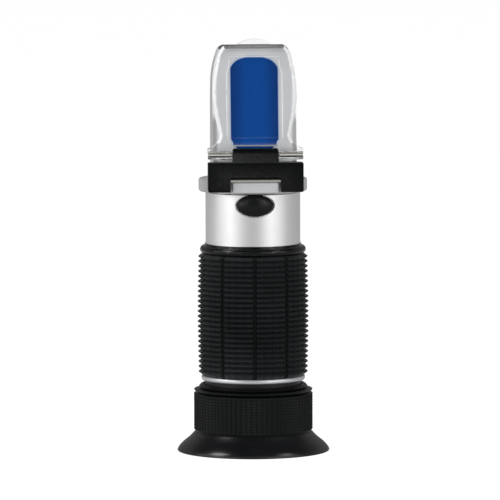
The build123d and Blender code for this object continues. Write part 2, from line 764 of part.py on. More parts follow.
PARTS = {
    "eyecup": make_eyecup,
    "focus_ring": make_focus_ring,
    "eyepiece_tube": make_eyepiece_tube,
    "friction_ring": make_friction_ring,
    "eye_lens": make_eye_lens,
    "lens_spacer": make_lens_spacer,
    "field_lens": make_field_lens,
    "lens_retainer": make_lens_retainer,
    "focus_bush": make_focus_bush,
    "trim_ring": make_trim_ring,
    "barrel_tube": make_barrel_tube,
    "grip_sleeve": make_grip_sleeve,
    "reticle_cell": make_reticle_cell,
    "reticle": make_reticle,
    "reticle_ring": make_reticle_ring,
    "baffle": make_baffle,
    "objective_cell": make_objective_cell,
    "objective_lens": make_objective_lens,
    "objective_retainer": make_objective_retainer,
    "bimetal_strip": make_bimetal_strip,
    "field_stop": make_field_stop,
    "calibration_screw": make_calibration_screw,
    "screw_plug": make_screw_plug,
    "head_gasket": make_head_gasket,
    "head_block": make_head_block,
    "prism": make_prism,
    "prism_gasket": make_prism_gasket,
    "hinge_rod": make_hinge_rod,
    "hinge_arm": make_hinge_arm,
    "plate_pin": make_plate_pin,
    "daylight_plate": make_daylight_plate,
}

os.makedirs("parts", exist_ok=True)
for name, make in PARTS.items():
    part = make()
    part.label = name
    export_step(part, f"parts/{name}.step")
    print(name, round(part.volume, 2), [round(v, 2) for v in part.bounding_box().size])
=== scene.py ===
"""Dresses the handheld refractometer: camera, room, finishes and its finer pieces."""
import json
import math

import bmesh
import bpy
from mathutils import Matrix, Vector


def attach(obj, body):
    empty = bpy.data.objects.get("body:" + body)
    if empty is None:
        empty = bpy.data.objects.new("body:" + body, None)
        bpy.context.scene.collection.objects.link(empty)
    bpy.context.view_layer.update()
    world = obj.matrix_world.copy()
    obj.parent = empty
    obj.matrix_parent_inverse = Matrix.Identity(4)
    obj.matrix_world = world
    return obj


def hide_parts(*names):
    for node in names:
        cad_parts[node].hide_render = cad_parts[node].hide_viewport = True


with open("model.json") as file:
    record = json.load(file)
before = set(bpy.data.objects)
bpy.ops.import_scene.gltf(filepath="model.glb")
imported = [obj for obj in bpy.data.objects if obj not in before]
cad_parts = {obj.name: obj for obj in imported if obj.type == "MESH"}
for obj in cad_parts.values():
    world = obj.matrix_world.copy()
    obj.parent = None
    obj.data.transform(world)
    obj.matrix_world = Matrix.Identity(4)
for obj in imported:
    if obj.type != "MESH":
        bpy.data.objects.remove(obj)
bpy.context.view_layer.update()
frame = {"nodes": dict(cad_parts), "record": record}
NODES = frame["nodes"]
RECORD = frame["record"]
SLOT_OF = {part["node"]: part["material_slot"] for part in RECORD["subparts"]}
BODY_OF = {node: body for body, nodes in RECORD["behaviour"]["bodies"].items() for node in nodes}
MM = 0.001

# The photograph's view: a long lens, a little left of the front and above the barrel
PICTURE = 500
VIEW_DISTANCE = 2.0
VIEW_AZIMUTH = -2.9
VIEW_ELEVATION = 5.5
VIEW_ROLL = -0.15
PIXELS_PER_METRE = 3125.0
AIM = Vector((-0.00094, 0.0, 0.0644))

# How bright the room is: walls and ceiling in reflections, and its daylight on dull surfaces
ROOM_WALLS = 0.34
ROOM_CEILING = 0.07
ROOM_DAYLIGHT = 0.48
# Where they begin and end, as components of a unit direction
CEILING_FROM_TO = (0.35, 0.75)
BACK_WALL_FROM_TO = (0.6, 0.95)
BEHIND_OBJECT = (-0.2, 0.2)
BACK_WALL_SHARE = 0.6
# The dark patch that the plate's face mirrors to the camera; its edge is given as cosines
PATCH_DIRECTION = (3, 15.5)
PATCH_EDGE = (0.982, 0.993)
PATCH_SHARE = 0.1

# The floor, in metres, and its glow for the camera and in reflections
FLOOR_HALF = 3.0
FLOOR_SHADE = 0.32
FLOOR_GLOW = 0.84
FLOOR_MIRRORED = 0.32

# Lamps in metres: azimuth, elevation, distance, width, height and radiance
LAMP_AIM = Vector((0, 0, 0.07))
LAMPS = {
    "softbox_left": (-64, 12, 0.9, 1.25, 0.9, 1.03),
    "softbox_right": (47, 12, 0.9, 0.95, 0.9, 1.1),
    "strip_left": (-59, 12, 0.85, 0.045, 0.5, 7.0),
    "strip_right": (42, 12, 0.85, 0.04, 0.45, 6.5),
    "softbox_over": (3, 38, 0.8, 0.9, 0.2, 0.6),
    "high_left": (-76, 47, 0.8, 0.26, 0.24, 8.0),
    "high_right": (64, 46, 0.8, 0.22, 0.2, 3.6),
}

# Sizes in millimetres, corners as (radius, height) and slopes as their components. The solids
# have the main sizes too; the cup's lip, the ring's courses and the grip's grooves are only here.
CUP_TOP = (18.66, 6.3)
CUP_TOP_LIP = (18.83, 6.18)
CUP_FLARE = ((20.42, 4.5), (22.68, 2.6))
CUP_RIM = (24.38, 0.4)
CUP_RIM_MIDDLE = (24.33, 0.12)
CUP_LIP_SLOPE = (0.66, -0.75)
CUP_SLOPE = (0.72, -0.69)
CUP_RIM_SLOPE = (0.36, -0.93)
CUP_LIP_BULGE = (0.04, 0.07)
CUP_LIP_R = 24.15
CUP_MOUTH = ((22.95, 0.0), (22.65, 0.12))
CUP_BOWL = ((21.3, 1.7), (18.0, 4.35), (13.5, 5.4))
CUP_HOLE_EDGE = ((9.3, 5.4), (9.0, 5.6))
TUBE_FLANGE_R = 16.4
TUBE_FLANGE_Z = (6.6, 9.0)
EYE_TUBE_R = 11.9

# Points round a turned piece
ROUND_STEPS = 192

RING_R = 19.05
RING_RIB_DEPTH = 0.34
RING_RIBS = 76
RING_RIB_POINTS = 6
RING_KNURL_Z = (6.8, 18.7)
RING_COURSES = 13
RING_COURSE_DEPTH = 0.3
# A course's flat, as shares of its height, and how far its dip is above its foot
RING_COURSE_LAND = (0.24, 0.76)
RING_DIP_ABOVE = 0.04
RING_LAST_DIP_BELOW = 0.03
# The plain parts below and above the courses
RING_FOOT = ((18.56, 6.3), (18.69, 6.7))
RING_SHOULDER = (
    (18.66, 18.75),
    (18.11, 19.15),
    (18.63, 19.3),
    (18.94, 19.64),
    (18.98, 19.8),
    (18.86, 19.9),
    (17.7, 20.17),
    (17.0, 20.2),
    (17.31, 20.7),
    (17.34, 20.95),
    (17.22, 21.07),
    (16.8, 21.48),
    (16.6, 21.6),
)
RING_BORE_R = 15.9
RING_WEB_Z = 11.0

BARREL_R = 15.15
BARREL_BORE_R = 13.4
BARREL_FOOT_Z = 24.3
TRIM_CURVE = ((16.15, 22.8), (16.48, 23.08), (16.6, 23.55), (16.55, 24.05), (16.4, 24.3))
GRIP_FOOT_R = 16.35
GRIP_VALLEY_R = 16.42
GRIP_TIP_R = (17.5, 17.8)
GRIP_NECK = (16.22, 63.5)
GRIP_BEAD = ((15.5, 66.05), (16.95, 64.8), (16.1, 63.65))
GRIP_BEAD_FROM_Z = 63.45
GRIP_COLLAR = (15.4, 66.8)
RIB_COUNT = 24
RIB_FIRST_Z = 62.53
RIB_PITCH = 1.61
RIB_TIP = (0.13, 0.117)

# The grip's upright grooves; their angles are in degrees, their depths in millimetres or as shares
GROOVES = 40
GROOVE_TURN = -1.0
GROOVE_HALF_ANGLE = 1.4
DEEP_HALF_ANGLE = 2.3
GROOVE_FLOOR = 0.16
GROOVE_FLOOR_SHARE = 0.45
LAND_STEPS = 6
DEEP_GROOVE_EVERY = 4
SHALLOW_GROOVE = 0.22

SCREW_Z = 79.9
PLUG_HALF_WIDTH = 5.85
PLUG_HALF_HEIGHT = 3.5
PLUG_TOP = 1.15
PLUG_EDGE = 0.25
PLUG_DOME = (2.4, 0.75)
RECESS_R = 14.35

# The head's leaning face and the plate over it; the lean is in degrees, FACE_AT is (Y, Z)
FACE_LEAN = 10.5
FACE_AT = (-13.4, 96.0)
BLUE_DEEPENS_X = (2.0, 7.55)
# The plate's side and foot rims take a matt white that is partly painted light, and its top edge
# painted shade
PLATE_RIM_Z = (98.7, 130.3)
PLATE_FOOT_Z = 99.4
PLATE_TOP_EDGE_Z = (129.0, 130.6)
PLATE_TOP_HALF_WIDTH = 9.5
PAD_HALF_WIDTH = (8.8, 8.0)
PAD_STEP_Z = (121.7, 123.9)
PAD_TOP_Z = 126.8
PAD_FOOT_Z = 101.3
# The pad's line is a painted highlight along the edge of the pad
PAD_LINE_R = 0.17
PAD_FOOT_LINE_R = 0.05
PAD_LINE_OUT = 0.7
# Painted shade: above this height the nose is coloured dark and dull, for the dark band along its
# top edge
NOSE_SHADE_Z = 129.3
# Painted shade and light on the border round the face: its flanks darker, and its forward faces
# darker low down and lighter higher up
FACE_EDGE_X = (11.6, 12.4)
FORWARD_NORMAL_Y = (-0.6, -0.2)
FLANK_PAINTED_SHADE = 0.6
BORDER_PAINTED_TONES = (0.43, 0.95)
BORDER_SHADE_TO_LIGHT_Z = (106.0, 110.0)

# Which of the plate's faces are its rims, as components of a unit normal
FACE_WITHIN = 0.9995
RIM_SIDEWAYS = 0.12
SIDE_UPWARD = 0.6
RIM_UPWARD = 0.3

# Bars along X: their Y and Z, radius and half length
ROD = (-18.2, 88.3, 0.8, 15.1)
PIN = (-17.4, 96.5, 0.65, 15.0)
BAR_CHAMFER = 0.18
BAR_STEPS = 48

# Rounding the edges of a solid's copy, in millimetres and degrees
ARM_ROUNDING = 0.22
HEAD_ROUNDING = 0.28
WELD_WITHIN = 0.002
FLAT_WITHIN = 0.5
HARD_EDGE = 28.0

# Colours, and how metallic the head is
HEAD_SILVER = (0.76, 0.77, 0.785, 1.0)
# The nose's dark colour is painted shade, for the band along its top edge
NOSE_SHADE = (0.09, 0.092, 0.096, 1.0)
# The lighter grey of raised edges: partly wear, partly painted highlight
RUBBED_AND_LIT_GREY = (0.05, 0.051, 0.052, 1.0)
BLUE_MIDDLE = (0.0032, 0.065, 0.305, 1.0)
BLUE_SIDES = (0.0036, 0.04, 0.196, 1.0)
HEAD_METALLIC = 0.45

# Where a surface's broad unevenness takes its roughness from one value to another
PATCHES_FROM_TO = (0.3, 0.7)

# Blacks: shade, roughness, gloss, grain and relief in millimetres, and how rubbed the edges are,
# their lighter grey partly wear and partly painted highlight
BLACKS = {
    "soft_rubber": ((0.0046, 0.005, 0.006), 0.23, 0.45, 0.2, 0.003),
    "ring_black": ((0.0022, 0.0027, 0.0028), 0.3, 0.15, 0.12, 0.004, 0.3),
    "anodised_black": ((0.009, 0.009, 0.01), 0.4, 0.3, 0.08, 0.004),
    "grip_rubber": ((0.015, 0.0174, 0.0182), 0.34, 0.42, 0.15, 0.004),
    "plug_rubber": ((0.0045, 0.0052, 0.0051), 0.28, 0.22, 0.2, 0.006),
    "seal_rubber": ((0.02, 0.02, 0.02), 0.6, 0.2, 0.15, 0.01),
    "arm_plastic": ((0.0022, 0.0026, 0.003), 0.4, 0.07, 0.12, 0.008, 0.2),
}
# Metals: shade, roughness, lines per millimetre, their relief in millimetres and their contrast
METALS = {
    "polished_metal": ((0.68, 0.69, 0.72), 0.46, 6.0, 0.002, 0.06),
    "brushed_aluminium": ((0.84, 0.84, 0.84), 0.42, 3.4, 0.008, 0.3),
    "bright_steel": ((0.6, 0.58, 0.54), 0.2, 3.0, 0.002, 0.1),
    "bimetal": ((0.7, 0.6, 0.42), 0.35, 5.0, 0.005, 0.1),
    "brass_screw": ((0.72, 0.56, 0.28), 0.28, 8.0, 0.005, 0.1),
}
# Clear finishes: tint, index of refraction and gloss
CLEARS = {
    "clear_acrylic": ((1.0, 1.0, 1.0), 1.49, 0.35),
    "lens_glass": ((0.95, 0.98, 0.97), 1.52, 0.5),
}
# Pale finishes: shade, roughness and grain in millimetres
PALES = {
    "pale_sealant": ((0.55, 0.63, 0.74), 0.4, 0.2),
    "nylon_white": ((0.8, 0.79, 0.75), 0.45, 0.3),
}

# The Mix node's two inputs and its output, which differ by what it mixes
MIX_SOCKETS = {"FLOAT": (2, 3, 0), "RGBA": (6, 7, 2)}


def put_in_scene(name, data):
    """A new object with this data, linked to the scene."""
    thing = bpy.data.objects.new(name, data)
    bpy.context.scene.collection.objects.link(thing)
    return thing


def direction(azimuth, elevation):
    """A unit vector away from the object: azimuth 0 is the front, degrees."""
    a, e = math.radians(azimuth), math.radians(elevation)
    return Vector((math.sin(a) * math.cos(e), -math.cos(a) * math.cos(e), math.sin(e)))


def facing(away):
    """The turn of a camera or lamp that looks back along a direction."""
    return (-away).to_track_quat("-Z", "Y").to_matrix().to_4x4()


def make_camera():
    """Stands the camera where the photograph was taken from."""
    data = bpy.data.cameras.new("camera")
    data.sensor_width = 36.0
    data.lens = data.sensor_width * PIXELS_PER_METRE * VIEW_DISTANCE / PICTURE
    data.clip_start = 0.1
    data.clip_end = 20.0
    camera = put_in_scene("camera", data)
    away = direction(VIEW_AZIMUTH, VIEW_ELEVATION)
    roll = Matrix.Rotation(math.radians(VIEW_ROLL), 4, "Z")
    camera.matrix_world = Matrix.Translation(AIM + away * VIEW_DISTANCE) @ facing(away) @ roll
    bpy.context.scene.camera = camera


def node_in(tree, kind, place=(0, 0), **settings):
    """Adds a shader node and sets its properties."""
    node = tree.nodes.new(kind)
    node.location = place
    for name, value in settings.items():
        setattr(node, name, value)
    return node


def join(tree, source, target):
    """Links two sockets."""
    tree.links.new(source, target)


def feed(tree, value, target):
    """Links a socket to another, or gives it a plain value."""
    if isinstance(value, bpy.types.NodeSocket):
        join(tree, value, target)
    else:
        target.default_value = value


def sums(tree, operation, first, second, place=(0, 0)):
    """A maths node whose inputs are sockets or plain numbers."""
    node = node_in(tree, "ShaderNodeMath", place, operation=operation)
    feed(tree, first, node.inputs[0])
    feed(tree, second, node.inputs[1])
    return node.outputs[0]


def mixed(tree, kind, factor, first, second, place=(0, 0)):
    """Goes from a first number or colour to a second as the factor rises; kind is FLOAT or RGBA."""
    node = node_in(tree, "ShaderNodeMix", place, data_type=kind)
    first_at, second_at, out_at = MIX_SOCKETS[kind]
    join(tree, factor, node.inputs[0])
    feed(tree, first, node.inputs[first_at])
    feed(tree, second, node.inputs[second_at])
    return node.outputs[out_at]


def split(tree, vector, place=(0, 0)):
    """The X, Y and Z of a vector socket, by name."""
    node = node_in(tree, "ShaderNodeSeparateXYZ", place)
    join(tree, vector, node.inputs[0])
    return node.outputs


def in_metres(millimetres):
    """Turns several lengths from millimetres into metres."""
    return [length * MM for length in millimetres]


def ramped(tree, value, low, high, at_low, at_high, place=(0, 0)):
    """A smooth change from one number to another while a value passes two limits."""
    node = node_in(tree, "ShaderNodeMapRange", place, interpolation_type="SMOOTHSTEP")
    join(tree, value, node.inputs["Value"])
    names = ("From Min", "From Max", "To Min", "To Max")
    for name, number in zip(names, (low, high, at_low, at_high)):
        node.inputs[name].default_value = number
    return node.outputs["Result"]


def make_world():
    """White behind the object; reflections see a dimmer room with a dark patch in front."""
    world = bpy.data.worlds.new("studio")
    bpy.context.scene.world = world
    world.use_nodes = True
    tree = world.node_tree
    background = tree.nodes["Background"]
    background.inputs["Color"].default_value = (1, 1, 1, 1)
    where = node_in(tree, "ShaderNodeTexCoord", (-1500, 0)).outputs["Generated"]
    parts = split(tree, where, (-1300, 100))
    ceiling = ramped(tree, parts["Z"], *CEILING_FROM_TO, ROOM_WALLS, ROOM_CEILING, (-1100, 100))
    toward = node_in(tree, "ShaderNodeVectorMath", (-1300, -200), operation="DOT_PRODUCT")
    join(tree, where, toward.inputs[0])
    toward.inputs[1].default_value = direction(*PATCH_DIRECTION)
    front = ramped(tree, toward.outputs["Value"], *PATCH_EDGE, 1.0, PATCH_SHARE, (-1100, -200))
    back = ramped(tree, parts["Y"], *BACK_WALL_FROM_TO, 1.0, BACK_WALL_SHARE, (-1100, -600))
    reflected = sums(tree, "MULTIPLY", ceiling, front, (-900, 0))
    reflected = sums(tree, "MULTIPLY", reflected, back, (-800, -100))
    path = node_in(tree, "ShaderNodeLightPath", (-1100, 400)).outputs
    behind = ramped(tree, parts["Y"], *BEHIND_OBJECT, 0.0, 1.0, (-1100, -400))
    through = sums(tree, "MULTIPLY", path["Is Transmission Ray"], behind, (-900, 300))
    seen = sums(tree, "MAXIMUM", path["Is Camera Ray"], through, (-700, 400))
    room = mixed(tree, "FLOAT", path["Is Diffuse Ray"], reflected, ROOM_DAYLIGHT, (-500, 0))
    level = mixed(tree, "FLOAT", seen, room, 1.0, (-300, 0))
    join(tree, level, background.inputs["Strength"])


def make_lamp(name, azimuth, elevation, distance, width, height, radiance):
    """A soft rectangular lamp that faces the middle of the object."""
    data = bpy.data.lights.new(name, "AREA")
    data.shape = "RECTANGLE"
    data.size = width
    data.size_y = height
    data.energy = radiance * math.pi * width * height
    away = direction(azimuth, elevation)
    lamp = put_in_scene(name, data)
    lamp.matrix_world = Matrix.Translation(LAMP_AIM + away * distance) @ facing(away)


def make_floor():
    """A white floor that keeps only a faint shadow."""
    mesh = bpy.data.meshes.new("floor")
    corners = [(-1, -1), (1, -1), (1, 1), (-1, 1)]
    mesh.from_pydata([(x * FLOOR_HALF, y * FLOOR_HALF, 0) for x, y in corners], [], [(0, 1, 2, 3)])
    floor = put_in_scene("floor", mesh)
    material, tree, shader = new_material(
        "floor_white",
        Base_Color=(FLOOR_SHADE, FLOOR_SHADE, FLOOR_SHADE, 1.0),
        Roughness=1.0,
        Specular_IOR_Level=0.0,
        Emission_Color=(FLOOR_GLOW, FLOOR_GLOW, FLOOR_GLOW, 1.0),
    )
    path = node_in(tree, "ShaderNodeLightPath", (-900, 200)).outputs
    seen = sums(tree, "MAXIMUM", path["Is Camera Ray"], path["Is Transmission Ray"], (-700, 300))
    glow = sums(tree, "MULTIPLY", path["Is Glossy Ray"], FLOOR_MIRRORED, (-700, 100))
    join(tree, sums(tree, "MAXIMUM", seen, glow, (-500, 200)), shader.inputs["Emission Strength"])
    mesh.materials.append(material)


def new_group(name, inputs, outputs):
    """A shader node group with named sockets: input name to value, and output names."""
    tree = bpy.data.node_groups.new(name, "ShaderNodeTree")
    for label, value in inputs.items():
        colour = isinstance(value, tuple)
        kind = "NodeSocketColor" if colour else "NodeSocketFloat"
        socket = tree.interface.new_socket(label, in_out="INPUT", socket_type=kind)
        socket.default_value = value
    for label in outputs:
        kind = "NodeSocketColor" if label == "Colour" else "NodeSocketFloat"
        tree.interface.new_socket(label, in_out="OUTPUT", socket_type=kind)
    entry = node_in(tree, "NodeGroupInput", (-1000, 0))
    leave = node_in(tree, "NodeGroupOutput", (600, 0))
    return tree, entry, leave


def noise_at(tree, scale, detail, stretch=(1, 1, 1), place=(0, 0)):
    """Noise in object space, with its place stretched along each axis."""
    where = node_in(tree, "ShaderNodeTexCoord", (place[0] - 400, place[1]))
    mapping = node_in(tree, "ShaderNodeMapping", (place[0] - 200, place[1]))
    mapping.inputs["Scale"].default_value = stretch
    join(tree, where.outputs["Object"], mapping.inputs["Vector"])
    noise = node_in(tree, "ShaderNodeTexNoise", place)
    join(tree, mapping.outputs["Vector"], noise.inputs["Vector"])
    feed(tree, scale, noise.inputs["Scale"])
    feed(tree, detail, noise.inputs["Detail"])
    return noise.outputs["Fac"]


def make_grain_group():
    """Moulded grain: fine noise over a broad unevenness, and a colour that varies with it."""
    tree, entry, leave = new_group(
        "moulded_grain",
        {
            "Scale": 4000.0,
            "Patch Scale": 60.0,
            "Colour": (0.01, 0.01, 0.01, 1.0),
            "Variation": 0.25,
        },
        ("Colour", "Height", "Patch"),
    )
    fine = noise_at(tree, entry.outputs["Scale"], 3.0, place=(-500, 200))
    patch = noise_at(tree, entry.outputs["Patch Scale"], 2.0, place=(-500, -200))
    spread = sums(tree, "SUBTRACT", patch, 0.5, (-300, -200))
    spread = sums(tree, "MULTIPLY", spread, entry.outputs["Variation"], (-100, -200))
    gain = sums(tree, "MULTIPLY_ADD", spread, 2.0, (100, -200))
    gain.node.inputs[2].default_value = 1.0
    tint = node_in(tree, "ShaderNodeVectorMath", (300, -100), operation="SCALE")
    join(tree, entry.outputs["Colour"], tint.inputs[0])
    join(tree, gain, tint.inputs["Scale"])
    join(tree, tint.outputs["Vector"], leave.inputs["Colour"])
    join(tree, fine, leave.inputs["Height"])
    join(tree, patch, leave.inputs["Patch"])
    return tree


def make_turned_lines_group():
    """Lines brushed round the barrel: noise packed tightly along Z and drawn out across it."""
    tree, entry, leave = new_group(
        "turned_lines",
        {"Lines": 5000.0, "Broken": 60.0, "Contrast": 0.3},
        ("Lines", "Sheen"),
    )
    where = node_in(tree, "ShaderNodeTexCoord", (-900, 300))
    parts = split(tree, where.outputs["Object"], (-700, 300))
    packed = node_in(tree, "ShaderNodeCombineXYZ", (-300, 300))
    for row, (axis, rate) in enumerate((("X", "Broken"), ("Y", "Broken"), ("Z", "Lines"))):
        place = (-500, 400 - 150 * row)
        stretched = sums(tree, "MULTIPLY", parts[axis], entry.outputs[rate], place)
        join(tree, stretched, packed.inputs[axis])
    noise = node_in(tree, "ShaderNodeTexNoise", (-100, 300))
    noise.inputs["Scale"].default_value = 1.0
    noise.inputs["Detail"].default_value = 2.0
    join(tree, packed.outputs[0], noise.inputs["Vector"])
    join(tree, noise.outputs["Fac"], leave.inputs["Lines"])
    spread = sums(tree, "SUBTRACT", noise.outputs["Fac"], 0.5, (100, 100))
    sheen = sums(tree, "MULTIPLY", spread, entry.outputs["Contrast"], (300, 100))
    join(tree, sheen, leave.inputs["Sheen"])
    return tree


def make_rubbed_and_lit_group():
    """Where raised edges are rubbed and take a painted highlight: a mask from the surface's
    sharpness, broken by noise.
    """
    tree, entry, leave = new_group("rubbed_and_lit_edges", {"Start": 0.52, "Strength": 1.0}, ("Mask",))
    sharp = node_in(tree, "ShaderNodeNewGeometry", (-700, 200)).outputs["Pointiness"]
    above = sums(tree, "SUBTRACT", sharp, entry.outputs["Start"], (-500, 200))
    above = sums(tree, "MULTIPLY", above, 12.0, (-300, 200))
    broken = noise_at(tree, 900.0, 3.0, place=(-300, -100))
    mask = sums(tree, "MULTIPLY", above, broken, (-100, 100))
    mask = sums(tree, "MULTIPLY", mask, entry.outputs["Strength"], (100, 100))
    held = node_in(tree, "ShaderNodeClamp", (300, 100))
    join(tree, mask, held.inputs["Value"])
    join(tree, held.outputs["Result"], leave.inputs["Mask"])
    return tree


GRAIN = make_grain_group()
TURNED_LINES = make_turned_lines_group()
RUBBED_AND_LIT = make_rubbed_and_lit_group()


def place_group(tree, group, place, **values):
    """Puts a shared group into a material with its own values; names use _ for spaces."""
    node = node_in(tree, "ShaderNodeGroup", place, node_tree=group)
    for name, value in values.items():
        node.inputs[name.replace("_", " ")].default_value = value
    return node


def new_material(name, **sockets):
    """A material with these values on its Principled BSDF; names use _ for spaces."""
    material = bpy.data.materials.new(name)
    material.use_nodes = True
    tree = material.node_tree
    shader = tree.nodes["Principled BSDF"]
    for label, value in sockets.items():
        shader.inputs[label.replace("_", " ")].default_value = value
    return material, tree, shader


def bumped(tree, shader, height, strength, distance):
    """Turns a height into the shader's normal; distance in metres."""
    bump = node_in(tree, "ShaderNodeBump", (-250, -350))
    bump.inputs["Strength"].default_value = strength
    bump.inputs["Distance"].default_value = distance
    join(tree, height, bump.inputs["Height"])
    join(tree, bump.outputs["Normal"], shader.inputs["Normal"])


def unevenly_rough(tree, shader, patch, smoothest, roughest):
    """Lets the roughness change slowly over a surface, between two values."""
    rough = ramped(tree, patch, *PATCHES_FROM_TO, smoothest, roughest, (-600, -200))
    join(tree, rough, shader.inputs["Roughness"])


def make_black(name, shade, roughness, gloss, grain, relief, rub_and_light=0.0):
    """A black rubber or plastic: shade, roughness, gloss, grain size and relief in millimetres."""
    material, tree, shader = new_material(name, Specular_IOR_Level=gloss)
    skin = place_group(tree, GRAIN, (-1000, 0), Patch_Scale=70.0, Variation=0.5)
    skin.inputs["Scale"].default_value = 1 / (grain * MM)
    skin.inputs["Colour"].default_value = (*shade, 1.0)
    bumped(tree, shader, skin.outputs["Height"], 0.5, relief * MM)
    unevenly_rough(tree, shader, skin.outputs["Patch"], 0.88 * roughness, 1.15 * roughness)
    colour = skin.outputs["Colour"]
    # Raised edges go lighter grey: partly wear, partly painted highlight
    if rub_and_light:
        worn_and_lit = place_group(tree, RUBBED_AND_LIT, (-1000, 400), Strength=rub_and_light)
        colour = mixed(tree, "RGBA", worn_and_lit.outputs["Mask"], colour, RUBBED_AND_LIT_GREY, (-500, 200))
    join(tree, colour, shader.inputs["Base Color"])
    return material


def make_metal(name, shade, roughness, lines, line_relief, contrast):
    """A metal turned or brushed round Z: lines per millimetre and their relief in millimetres."""
    material, tree, shader = new_material(name, Metallic=1.0, Base_Color=(*shade, 1.0))
    brushed = place_group(tree, TURNED_LINES, (-1000, 0), Lines=lines / MM, Contrast=contrast)
    rough = sums(tree, "ADD", brushed.outputs["Sheen"], roughness, (-500, -100))
    join(tree, rough, shader.inputs["Roughness"])
    bumped(tree, shader, brushed.outputs["Lines"], 0.6, line_relief * MM)
    return material


def make_satin_metal():
    """The head's plated casting: even grain, painted shade and light on its face's border and
    painted shade on its nose.
    """
    material, tree, shader = new_material("satin_metal", Specular_IOR_Level=0.3)
    skin = place_group(tree, GRAIN, (-1000, 0), Scale=2600.0, Patch_Scale=45.0, Variation=0.08)
    skin.inputs["Colour"].default_value = HEAD_SILVER
    where = node_in(tree, "ShaderNodeTexCoord", (-1500, 400)).outputs
    parts = split(tree, where["Object"], (-1300, 400))
    normal = split(tree, where["Normal"], (-1300, 700))
    # Painted shade and light on the face's border: flanks darker, forward faces darker low down and
    # lighter higher up
    aside = sums(tree, "ABSOLUTE", parts["X"], 0.0, (-1100, 500))
    edge = ramped(tree, aside, *in_metres(FACE_EDGE_X), 0.0, 1.0, (-900, 500))
    forward = ramped(tree, normal["Y"], *FORWARD_NORMAL_Y, 1.0, 0.0, (-1100, 900))
    border = ramped(tree, parts["Z"], *in_metres(BORDER_SHADE_TO_LIGHT_Z), *BORDER_PAINTED_TONES, (-1100, 700))
    border_painted_tone = mixed(tree, "FLOAT", forward, FLANK_PAINTED_SHADE, border, (-900, 700))
    border_painted_colour = node_in(tree, "ShaderNodeCombineColor", (-700, 700))
    for socket in border_painted_colour.inputs:
        join(tree, border_painted_tone, socket)
    colour = mixed(tree, "RGBA", edge, skin.outputs["Colour"], border_painted_colour.outputs[0], (-600, 300))
    # Painted shade: above this height the nose goes dark and stops being metal, for the dark band
    # along its top edge
    nose_shade_from_to = in_metres((NOSE_SHADE_Z - 0.1, NOSE_SHADE_Z))
    painted = ramped(tree, parts["Z"], *nose_shade_from_to, 0.0, 1.0, (-900, 250))
    colour = mixed(tree, "RGBA", painted, colour, NOSE_SHADE, (-400, 200))
    join(tree, colour, shader.inputs["Base Color"])
    metal = sums(tree, "SUBTRACT", 1.0, painted, (-600, 0))
    metal = sums(tree, "MULTIPLY", metal, HEAD_METALLIC, (-400, 0))
    join(tree, metal, shader.inputs["Metallic"])
    unevenly_rough(tree, shader, skin.outputs["Patch"], 0.36, 0.44)
    bumped(tree, shader, skin.outputs["Height"], 0.35, 0.02 * MM)
    return material


def make_blue_glass():
    """The prism: deep blue glass, darker towards its sides."""
    material, tree, shader = new_material(
        "blue_glass", Roughness=0.12, IOR=1.5, Specular_IOR_Level=0.25
    )
    where = node_in(tree, "ShaderNodeTexCoord", (-1500, 0))
    parts = split(tree, where.outputs["Object"], (-1300, 0))
    aside = sums(tree, "ABSOLUTE", parts["X"], 0.0, (-1100, 0))
    deep = ramped(tree, aside, *in_metres(BLUE_DEEPENS_X), 0.0, 1.0, (-900, 0))
    tone = mixed(tree, "RGBA", deep, BLUE_MIDDLE, BLUE_SIDES, (-700, 0))
    depth = place_group(tree, GRAIN, (-400, 0), Scale=900.0, Patch_Scale=35.0, Variation=0.12)
    join(tree, tone, depth.inputs["Colour"])
    join(tree, depth.outputs["Colour"], shader.inputs["Base Color"])
    bumped(tree, shader, depth.outputs["Patch"], 0.1, 0.02 * MM)
    return material


def make_clear_plastic(name, tint, ior, gloss):
    """Clear plastic or glass that lets light through to what it covers."""
    material, tree, shader = new_material(
        name, Base_Color=(*tint, 1.0), Transmission_Weight=1.0, IOR=ior, Specular_IOR_Level=gloss
    )
    skin = place_group(tree, GRAIN, (-1000, 0), Scale=1500.0, Patch_Scale=110.0, Variation=0.1)
    rough = ramped(tree, skin.outputs["Patch"], 0.35, 0.7, 0.0, 0.04, (-600, -200))
    join(tree, rough, shader.inputs["Roughness"])
    bumped(tree, shader, skin.outputs["Patch"], 0.15, 0.05 * MM)
    let_light_by(tree, shader, 1.0)
    return material


def let_light_by(tree, shader, share):
    """Lets this share of a lamp's light straight through, so that clear plastic casts no shadow."""
    path = node_in(tree, "ShaderNodeLightPath", (0, 400))
    passed = sums(tree, "MULTIPLY", path.outputs["Is Shadow Ray"], share, (200, 400))
    passing = node_in(tree, "ShaderNodeBsdfTransparent", (200, -100))
    mix = node_in(tree, "ShaderNodeMixShader", (400, 200))
    join(tree, passed, mix.inputs[0])
    join(tree, shader.outputs[0], mix.inputs[1])
    join(tree, passing.outputs[0], mix.inputs[2])
    join(tree, mix.outputs[0], tree.nodes["Material Output"].inputs["Surface"])


def make_painted_rim(name, shade):
    """A moulded rim of the plate: its clear plastic with a fine matt surface, whose shade is
    painted light for the side rims and the pad's line, and painted shade for the top edge.
    """
    material, tree, shader = new_material(
        name, Base_Color=(*shade, 1.0), Transmission_Weight=0.12, IOR=1.49
    )
    skin = place_group(tree, GRAIN, (-1000, 0), Scale=5000.0, Patch_Scale=300.0, Variation=0.1)
    unevenly_rough(tree, shader, skin.outputs["Patch"], 0.25, 0.4)
    bumped(tree, shader, skin.outputs["Height"], 0.3, 0.02 * MM)
    let_light_by(tree, shader, 0.8)
    return material


